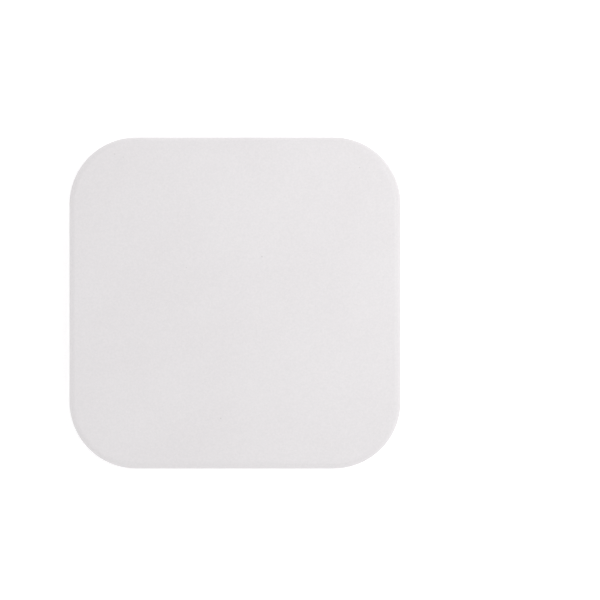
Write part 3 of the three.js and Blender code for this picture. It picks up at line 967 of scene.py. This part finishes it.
def make_inductor(name, ferrite, copper):
    """A wound drum inside a square ferrite frame, with the winding seen in the gap."""
    low, high, x, y = place_of(name)
    side = high.x - low.x
    bore, drum = 2.1 * MM, 1.75 * MM
    gap_floor = low.z + 0.35 * MM

    def add_frame(bm):
        soft = 0.2 * MM
        levels = [(soft / 2, low.z), (0, low.z + soft / 2)] + soft_top(high.z, soft)
        add_block(bm, side, side, 0.5 * MM, 5, levels, (x, y))

    def cut_gap(bm):
        top = high.z + 1 * MM
        inner = cylinder_loops(drum, gap_floor, top, x, y, 64)
        outer = cylinder_loops(bore, gap_floor, top, x, y, 64)
        loft(bm, outer + inner[::-1], cap_ends=False)

    def add_winding(bm):
        """One wire, wound as a helix with a little air between its turns."""
        wire = 0.13 * MM
        pitch = 2.1 * wire
        start, end = gap_floor + 1.2 * wire, high.z - 0.45 * MM
        steps = 64
        section = arc((0, 0), wire, 0, 315, 7)
        loops = []
        for i in range(int((end - start) / pitch * steps) + 1):
            angle = 2 * math.pi * i / steps
            outward = Vector((math.cos(angle), math.sin(angle), 0))
            centre = Vector((x, y, start + pitch * i / steps)) + outward * (drum + wire * 1.1)
            loops.append([centre + outward * px + Vector((0, 0, pz)) for px, pz in section])
        loft(bm, loops)

    piece = assemble("choke_" + name, [(ferrite, add_frame)])
    cut(piece, cut_gap)
    shade(piece)
    winding = assemble("winding_" + name, [(copper, add_winding)])
    return piece, winding


def make_crystal(name, ceramic, lid):
    """A ceramic tray closed by a thin metal lid with a flange."""
    low, high, x, y = place_of(name)
    size = high - low
    rim = low.z + 0.45 * size.z

    def add_levels(bm, levels):
        add_block(bm, size.x, size.y, 0.3 * MM, 5, levels, (x, y), tighten=0.5)

    def add_tray(bm):
        add_levels(bm, [(0, low.z), (0, rim)])

    def add_lid(bm):
        flange, wall = 0.06 * MM, 0.22 * MM
        top, soft = high.z, 0.1 * MM
        levels = [(flange, rim + 0.01 * MM), (flange, rim + 0.07 * MM), (wall, rim + 0.1 * MM)]
        levels += [(wall, top - soft), (wall + 0.03 * MM, top - 0.03 * MM), (wall + soft, top)]
        add_levels(bm, levels)

    return assemble("can_" + name, [(ceramic, add_tray), (lid, add_lid)])


def make_led(name, white, lens, tin):
    """Side-looking lamp: a white cup, its half-round lens towards the window, and two feet."""
    low, high, x, _ = place_of(name)
    lens_reach = 0.45 * MM
    front = low.y + lens_reach
    side = 0.2 * MM  # from each end of the box to the cup
    foot = 0.3 * MM

    def add_cup(bm):
        cup_low = (low.x + side, front, low.z)
        rounded_box(bm, cup_low, (high.x - side, high.y, high.z), 0.05 * MM)

    def add_feet(bm):
        inset = 0.03 * MM
        for near, far in ((low.x, low.x + foot), (high.x - foot, high.x)):
            foot_high = (far, high.y - inset, high.z - 0.1 * MM)
            rounded_box(bm, (near, front + inset, low.z), foot_high, 0.04 * MM)

    def add_lens(bm):
        centre = (x, front + 0.02 * MM)
        full = arc(centre, lens_reach, 180, 360, 16)
        small = arc(centre, lens_reach - 0.03 * MM, 180, 360, 16)
        end, soft = 0.12 * MM, 0.17 * MM
        loops = [raised(small, low.z + end), raised(full, low.z + soft)]
        loops += [raised(full, high.z - soft), raised(small, high.z - end)]
        loft(bm, loops)

    return assemble("lamp_" + name, [(white, add_cup), (tin, add_feet), (lens, add_lens)])


# ---- Materials ----


def feed(tree, socket, value):
    """Joins a node's output to a socket, or sets a plain value on it."""
    if isinstance(value, bpy.types.NodeSocket):
        tree.links.new(value, socket)
    else:
        socket.default_value = value


def add_node(tree, kind, inputs=None, **settings):
    node = tree.nodes.new(kind)
    for key, value in settings.items():
        setattr(node, key, value)
    for key, value in (inputs or {}).items():
        feed(tree, node.inputs[key], value)
    return node


class Nodes:
    """A small helper that adds nodes to one material and joins them."""

    def __init__(self, name):
        self.material = bpy.data.materials.new(name)
        self.material.use_nodes = True
        self.tree = self.material.node_tree
        self.shader = self.tree.nodes["Principled BSDF"]
        self.place = self.add("ShaderNodeTexCoord").outputs["Object"]

    def add(self, kind, inputs=None, **settings):
        return add_node(self.tree, kind, inputs, **settings)

    def surface(self, key, value):
        feed(self.tree, self.shader.inputs[key], value)

    def noise(self, size, detail=2.0, roughness=0.5):
        """Noise whose features are about size metres across. Returns 0 to 1."""
        inputs = {"Vector": self.place, "Scale": 1 / size, "Detail": detail}
        return self.add("ShaderNodeTexNoise", inputs | {"Roughness": roughness}).outputs["Fac"]

    def grain(self, size, detail=2.0, roughness=0.5, limits=(0, 1)):
        """The same noise with more contrast, between two limits."""
        return self.remap(self.noise(size, detail, roughness), 0.3, 0.7, *limits)

    def scattered(self, spacing, feature):
        """Distance, in spacings, from the nearest point (F1) or edge (DISTANCE_TO_EDGE)."""
        inputs = {"Vector": self.place, "Scale": 1 / spacing}
        return self.add("ShaderNodeTexVoronoi", inputs, feature=feature).outputs["Distance"]

    def specks(self, spacing, radius):
        """1 in the middle of scattered round specks, falling to 0 at their edges."""
        return self.remap(self.scattered(spacing, "F1"), 0, radius / spacing, 1, 0)

    def cells(self, size):
        """Distance from the nearest edge between cells about size metres across."""
        return self.scattered(size, "DISTANCE_TO_EDGE")

    def bands(self, axis, spacing, wobble=0.4):
        """Soft parallel stripes across one axis. Returns 0 to 1."""
        scale = math.pi / 10 / spacing
        inputs = {"Vector": self.place, "Scale": scale, "Distortion": wobble}
        return self.add("ShaderNodeTexWave", inputs, bands_direction=axis).outputs["Fac"]

    def remap(self, value, low, high, to_low, to_high):
        inputs = {"Value": value, "From Min": low, "From Max": high}
        inputs |= {"To Min": to_low, "To Max": to_high}
        return self.add("ShaderNodeMapRange", inputs, clamp=True).outputs["Result"]

    def maths(self, operation, *values):
        inputs = dict(enumerate(values))
        return self.add("ShaderNodeMath", inputs, operation=operation).outputs[0]

    def blend(self, amount, first, second, kind="MIX"):
        node = self.add("ShaderNodeMix", data_type="RGBA", blend_type=kind)
        for index, value in ((0, amount), (6, first), (7, second)):
            feed(self.tree, node.inputs[index], value)
        return node.outputs[2]

    def bump(self, height, distance):
        inputs = {"Strength": 1, "Distance": distance, "Height": height}
        self.surface("Normal", self.add("ShaderNodeBump", inputs).outputs["Normal"])


def rgb(red, green, blue):
    return (red, green, blue, 1.0)


def moulded_white():
    """Fine-grained white housing plastic, with a breath of pink, and the odd dark fleck."""
    n = Nodes("white_housing_plastic")
    cloud = n.remap(n.noise(14 * MM, 2), 0.35, 0.65, 0, 1)
    base = n.blend(cloud, rgb(0.709, 0.692, 0.699), rgb(0.721, 0.706, 0.713))
    grain = n.grain(0.35 * MM, 3, 0.6)
    tint = n.blend(grain, rgb(0.965, 0.96, 0.965), rgb(1.03, 1.02, 1.025))
    plastic = n.blend(1, base, tint, "MULTIPLY")
    fleck = n.maths("MULTIPLY", n.specks(4.5 * MM, 0.14 * MM), 0.55)
    n.surface("Base Color", n.blend(fleck, plastic, rgb(0.2, 0.17, 0.16)))
    n.surface("Roughness", n.grain(5 * MM, 4, 0.6, (0.42, 0.52)))
    n.bump(n.noise(0.22 * MM, 2), 0.004 * MM)
    return n.material


def grained(name, dark, light, size, roughness, metallic=0.0):
    """A two-tone surface with noise of one size in its colour, roughness and relief."""
    n = Nodes(name)
    grain = n.grain(size, 3, 0.6)
    n.surface("Base Color", n.blend(grain, rgb(*dark), rgb(*light)))
    n.surface("Roughness", n.remap(grain, 0, 1, *roughness))
    n.surface("Metallic", metallic)
    n.bump(n.noise(size / 2, 2), 0.003 * MM)
    return n.material


def cracked_ferrite():
    """A dark sintered sheet, broken into small tiles so that it stays flexible."""
    n = Nodes("cracked_ferrite_sheet")
    crack = n.remap(n.cells(2.2 * MM), 0, 0.03, 1, 0)
    grain = n.grain(0.12 * MM, 3, 0.6)
    tile = n.blend(grain, rgb(0.032, 0.032, 0.034), rgb(0.062, 0.061, 0.063))
    n.surface("Base Color", n.blend(crack, tile, rgb(0.012, 0.012, 0.013)))
    n.surface("Roughness", n.remap(grain, 0, 1, 0.38, 0.62))
    n.bump(n.maths("SUBTRACT", grain, crack), 0.01 * MM)
    return n.material


def open_cell_foam():
    n = Nodes("open_cell_foam")
    strut = n.remap(n.cells(0.3 * MM), 0, 0.2, 1, 0)
    # The cells' middles are painted darker than the struts round them: painted shade in the foam's pores.
    colour = n.blend(strut, rgb(0.006, 0.006, 0.006), rgb(0.045, 0.045, 0.045))
    n.surface("Base Color", colour)
    n.surface("Roughness", n.remap(strut, 0, 1, 0.98, 0.8))
    n.bump(strut, 0.06 * MM)
    return n.material


def board_laminate():
    """Green lacquer over copper tracks and a glass weave. The cut edges show the laminate."""
    n = Nodes("green_circuit_board")
    inputs = {"Vector": n.place, "Scale": 1 / (4 * MM), "Mortar Size": 0.03}
    inputs |= {"Mortar Smooth": 0.1, "Brick Width": 1.1, "Row Height": 0.19}
    brick = {"offset": 0.37, "squash": 1.8, "squash_frequency": 3}
    tracks = n.add("ShaderNodeTexBrick", inputs, **brick)
    routed = n.remap(n.noise(7 * MM, 1), 0.48, 0.52, 0, 1)
    gap = n.maths("MULTIPLY", tracks.outputs["Fac"], routed)
    weave = n.maths("MULTIPLY", n.bands("X", 0.45 * MM), n.bands("Y", 0.45 * MM))
    lacquer = n.blend(gap, rgb(0.012, 0.16, 0.055), rgb(0.008, 0.075, 0.03))
    lacquer = n.blend(n.maths("MULTIPLY", weave, 0.18), lacquer, rgb(0.05, 0.25, 0.1))
    via = n.specks(3.4 * MM, 0.55 * MM)
    lacquer = n.blend(n.remap(via, 0.25, 0.35, 0, 1), lacquer, rgb(0.55, 0.53, 0.48))
    # The black middle of each via is painted shade, standing in for its hole.
    lacquer = n.blend(n.remap(via, 0.6, 0.7, 0, 1), lacquer, rgb(0.01, 0.012, 0.01))
    laminate = n.blend(weave, rgb(0.35, 0.30, 0.16), rgb(0.52, 0.46, 0.28))
    normal = n.add("ShaderNodeTexCoord").outputs["Normal"]
    facing = n.add("ShaderNodeSeparateXYZ", {"Vector": normal})
    edge = n.remap(n.maths("ABSOLUTE", facing.outputs["Z"]), 0.3, 0.7, 1, 0)
    n.surface("Base Color", n.blend(edge, lacquer, laminate))
    n.surface("Roughness", n.grain(1.5 * MM, 3, limits=(0.28, 0.42)))
    n.bump(n.maths("SUBTRACT", n.maths("MULTIPLY", weave, 0.3), gap), 0.012 * MM)
    return n.material


def fibrous_tape():
    n = Nodes("cream_adhesive_film")
    fibre = n.maths("MULTIPLY", n.bands("X", 0.8 * MM, 9), n.bands("Y", 0.8 * MM, 9))
    n.surface("Base Color", n.blend(fibre, rgb(0.80, 0.76, 0.62), rgb(0.66, 0.61, 0.47)))
    n.surface("Roughness", n.grain(0.6 * MM, 3, limits=(0.35, 0.6)))
    n.bump(fibre, 0.005 * MM)
    return n.material


def nodes_named(part):
    """The CAD nodes whose names hold this text."""
    return [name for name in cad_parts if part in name]


def finish_cad(material, *names):
    """Gives CAD nodes whose shape is right their finished material."""
    for name in names:
        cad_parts[name].material_slots[0].material = material


def fit(piece, slot, *nodes):
    """Lets a new piece ride on the pad and stand for CAD nodes. Slot is not used."""
    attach(piece, "root")
    if nodes:
        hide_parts(*nodes)


def dress(piece, material, slot, *nodes):
    piece.data.materials.clear()
    piece.data.materials.append(material)
    fit(piece, slot, *nodes)


# ---- The board's parts in their places ----


def equip_board():
    """The parts soldered to the board, each in the place of its CAD node."""
    tin = grained("solder_tin", (0.55, 0.55, 0.55), (0.68, 0.68, 0.67), 0.08 * MM, (0.25, 0.42), 1)
    resin = grained(
        "package_resin", (0.012, 0.012, 0.013), (0.03, 0.03, 0.031), 0.06 * MM, (0.5, 0.68)
    )
    tan = grained("tan_ceramic", (0.30, 0.20, 0.11), (0.40, 0.27, 0.16), 0.1 * MM, (0.4, 0.55))
    alumina = grained(
        "white_alumina", (0.72, 0.71, 0.68), (0.82, 0.81, 0.79), 0.08 * MM, (0.5, 0.65)
    )
    glaze = grained(
        "resistor_glaze", (0.008, 0.008, 0.009), (0.02, 0.02, 0.022), 0.1 * MM, (0.15, 0.3)
    )
    amber = grained(
        "tantalum_resin", (0.60, 0.36, 0.07), (0.72, 0.46, 0.11), 0.12 * MM, (0.35, 0.5)
    )
    dark = grained(
        "sintered_ferrite", (0.03, 0.03, 0.032), (0.065, 0.064, 0.066), 0.12 * MM, (0.45, 0.65)
    )
    wire = grained(
        "enamelled_wire", (0.50, 0.19, 0.07), (0.68, 0.29, 0.12), 0.1 * MM, (0.22, 0.36), 1
    )
    lid = grained("nickel_lid", (0.52, 0.51, 0.48), (0.66, 0.65, 0.62), 0.2 * MM, (0.2, 0.34), 1)
    clay = grained("brown_ceramic", (0.10, 0.07, 0.05), (0.16, 0.12, 0.09), 0.08 * MM, (0.5, 0.65))
    cup = grained("lamp_cup", (0.78, 0.78, 0.76), (0.86, 0.86, 0.85), 0.06 * MM, (0.4, 0.55))
    phosphor = grained("lamp_lens", (0.75, 0.66, 0.28), (0.85, 0.78, 0.42), 0.05 * MM, (0.12, 0.25))

    for name in nodes_named("_capacitor_"):
        fit(make_chip(name, tan, tin), "chip_ceramic", name)
    for name in ("sense_resistor", "led_resistor", "thermistor"):
        fit(make_chip(name, alumina, tin, glaze), "black_plastic", name)
    fit(make_chip("bulk_capacitor", amber, tin), "capacitor_yellow", "bulk_capacitor")
    for name, pads in (("controller_ic", 8), ("gate_driver_ic", 4)):
        fit(make_leadless(name, pads, resin, tin), "black_plastic", name)
    for name, turn in (("bridge_mosfet_1", 90), ("bridge_mosfet_2", 0)):
        fit(make_gull_wing(name, resin, tin, turn, 3.9, 4, 1.27), "black_plastic", name)
    regulator = make_gull_wing("voltage_regulator", resin, tin, 90, 1.6, 2, 1.9)
    fit(regulator, "black_plastic", "voltage_regulator")
    fit(make_gull_wing("surge_diode", resin, tin, 0, 2.6, 1), "black_plastic", "surge_diode")
    choke, winding = make_inductor("power_inductor", dark, wire)
    fit(choke, "ferrite", "power_inductor")
    fit(winding, "coil_copper")
    fit(make_crystal("crystal", clay, lid), "socket_steel", "crystal")
    fit(make_led("status_led", cup, phosphor, tin), "led_white", "status_led")


# ---- Stage, lights and camera ----


def make_floor():
    bm = bmesh.new()
    bm.faces.new([bm.verts.new(point) for point in raised(circle((0, 0), 4.0, 96), 0)])
    floor = to_object("studio_floor", bm)
    n = Nodes("pale_studio_floor")
    haze = n.grain(60 * MM, 2)
    n.surface("Base Color", n.blend(haze, rgb(0.93, 0.93, 0.93), rgb(0.95, 0.95, 0.95)))
    n.surface("Roughness", 0.9)
    n.surface("Specular IOR Level", 0.1)
    n.surface("Emission Color", rgb(1, 1, 1))
    n.surface("Emission Strength", 0.27)
    floor.data.materials.append(n.material)


def make_world(horizon, overhead):
    """A pale studio all round, brighter low down, that the camera itself sees as white."""
    world = bpy.data.worlds.new("studio")
    bpy.context.scene.world = world
    world.use_nodes = True
    tree = world.node_tree
    direction = add_node(tree, "ShaderNodeTexCoord").outputs["Generated"]
    height = add_node(tree, "ShaderNodeSeparateXYZ", {"Vector": direction}).outputs["Z"]
    low, high = (math.sin(math.radians(degrees)) for degrees in (10, 20))
    inputs = {"Value": height, "From Min": low, "From Max": high}
    inputs |= {"To Min": horizon, "To Max": overhead}
    sky = add_node(tree, "ShaderNodeMapRange", inputs, interpolation_type="SMOOTHSTEP")
    seen = add_node(tree, "ShaderNodeLightPath").outputs["Is Camera Ray"]
    inputs = {"Factor": seen, "A": sky.outputs["Result"], "B": 1.1}
    level = add_node(tree, "ShaderNodeMix", inputs).outputs["Result"]
    background = tree.nodes["Background"]
    feed(tree, background.inputs["Color"], rgb(1, 1, 1))
    feed(tree, background.inputs["Strength"], level)


def softbox(name, place, size, power):
    light = bpy.data.lights.new(name, "AREA")
    light.shape = "SQUARE"
    light.size = size
    light.energy = power
    lamp = link(name, light)
    lamp.location = place
    lamp.rotation_euler = Vector(place).to_track_quat("Z", "Y").to_euler()


def make_camera():
    """Straight above, with the pad left of the middle of the frame."""
    lens, sensor = 120, 36
    frame_width = 109.42 * MM  # what the frame spans at the pad's widest level
    beside = Vector((11.84, 0.535)) * MM  # the frame's middle, from the pad's
    data = bpy.data.cameras.new("camera")
    data.lens = lens
    data.sensor_width = sensor
    data.clip_start = 0.01
    data.clip_end = 10
    camera = link("camera", data)
    level = TOP_Z - TOP_EDGE_R
    camera.location = (beside.x, beside.y, level + frame_width * lens / sensor)
    bpy.context.scene.camera = camera


make_camera()
make_floor()
make_world(horizon=1.2, overhead=0.81)
softbox("key_light", place=(0.11, 0.045, 0.24), size=0.12, power=0.205)
bpy.context.scene.view_settings.view_transform = "Standard"

white = moulded_white()
dress(make_top_cover(), white, "shell_plastic", "top_cover")
dress(make_base_cover(), white, "shell_plastic", "base_cover")

rubber = grained("grey_foot_rubber", (0.50, 0.50, 0.49), (0.6, 0.6, 0.59), 0.3 * MM, (0.7, 0.85))
for name in nodes_named("foot_"):
    dress(make_foot(name), rubber, "foot_rubber", name)

window = grained("frosted_window", (0.70, 0.74, 0.76), (0.82, 0.86, 0.87), 0.5 * MM, (0.15, 0.3))
dress(make_light_pipe(), window, "window_plastic", "light_pipe")

socket_steel = grained("nickel_plate", (0.54, 0.54, 0.52), (0.62, 0.62, 0.60), 0.12 * MM, (0.22, 0.34), 1)
dress(make_usb_shell(), socket_steel, "socket_steel", "usb_shell")
black = grained("black_moulding", (0.010, 0.010, 0.011), (0.02, 0.02, 0.021), 0.2 * MM, (0.45, 0.6))
dress(make_tongue(), black, "black_plastic", "usb_tongue")

copper = grained("litz_copper", (0.52, 0.20, 0.08), (0.66, 0.28, 0.12), 0.1 * MM, (0.24, 0.38), 1)
fit(assemble("litz_coil", [(copper, wind_coil)], 60), "coil_copper", "coil_winding")
zinc = grained("zinc_plated_steel", (0.48, 0.49, 0.51), (0.60, 0.61, 0.62), 0.15 * MM, (0.25, 0.4), 1)
for name in nodes_named("case_screw_"):
    fit(make_screw(name, zinc), "screw_steel", name)
equip_board()

gilt = grained("gilded_contact", (0.75, 0.48, 0.16), (0.92, 0.66, 0.28), 0.15 * MM, (0.2, 0.35), 1)
finish_cad(gilt, *nodes_named("usb_contact_"))
finish_cad(board_laminate(), "main_board")
finish_cad(cracked_ferrite(), "ferrite_shield")
finish_cad(open_cell_foam(), "foam_ring")
finish_cad(fibrous_tape(), "adhesive_disc")
